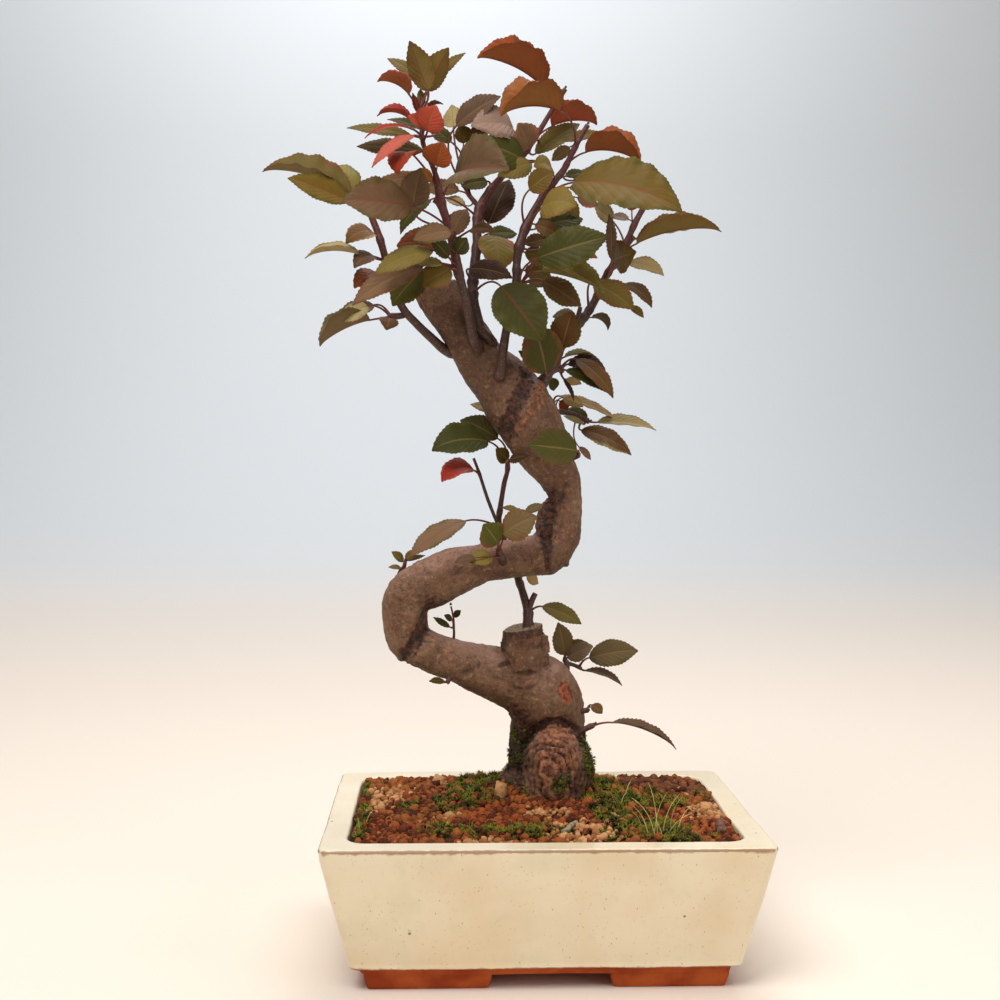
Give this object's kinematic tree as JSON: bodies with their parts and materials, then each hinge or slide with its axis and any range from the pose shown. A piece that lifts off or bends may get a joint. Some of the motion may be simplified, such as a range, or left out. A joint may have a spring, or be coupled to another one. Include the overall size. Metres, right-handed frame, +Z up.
{
  "type": "bonsai apple tree",
  "caption": "Small apple bonsai with an S-shaped trunk and leafy shoots, growing in a footed, glazed rectangular pot of granular soil.",
  "frame": {"origin": "middle of the bounding box on the plane that the pot's feet stand on", "axes": "+Z up, +X to the right as the long side of the pot is seen from the front, +Y to the back"},
  "size_m": [0.2441, 0.15, 0.4608],
  "materials": {
    "pot": "satin",
    "drain_screen_left": "matte",
    "drain_screen_right": "matte",
    "soil": "matte",
    "trunk": "matte",
    "shoot_left": "satin",
    "shoot_front": "satin",
    "shoot_middle": "satin",
    "shoot_right": "satin",
    "shoot_far_right": "satin",
    "shoot_rear": "satin",
    "shoot_stub": "satin",
    "shoot_bud": "satin",
    "shoot_low_rear": "satin",
    "sprout_front_right": "satin",
    "sprout_left": "satin",
    "sprout_inner": "satin",
    "sprout_under": "matte",
    "sprout_elbow": "matte",
    "shoot_stump": "matte",
    "bark_chip": "matte",
    "dead_twig": "matte"
  },
  "bodies": {
    "root": {"pot": "pot", "drain_screen_left": "drain_screen_left", "drain_screen_right": "drain_screen_right", "soil": "soil", "trunk": "trunk", "shoot_left": "shoot_left", "shoot_front": "shoot_front", "shoot_middle": "shoot_middle", "shoot_right": "shoot_right", "shoot_far_right": "shoot_far_right", "shoot_rear": "shoot_rear", "shoot_stub": "shoot_stub", "shoot_bud": "shoot_bud", "shoot_low_rear": "shoot_low_rear", "sprout_front_right": "sprout_front_right", "sprout_left": "sprout_left", "sprout_inner": "sprout_inner", "sprout_under": "sprout_under", "sprout_elbow": "sprout_elbow", "shoot_stump": "shoot_stump", "bark_chip": "bark_chip", "dead_twig": "dead_twig"}
  },
  "joints": []
}
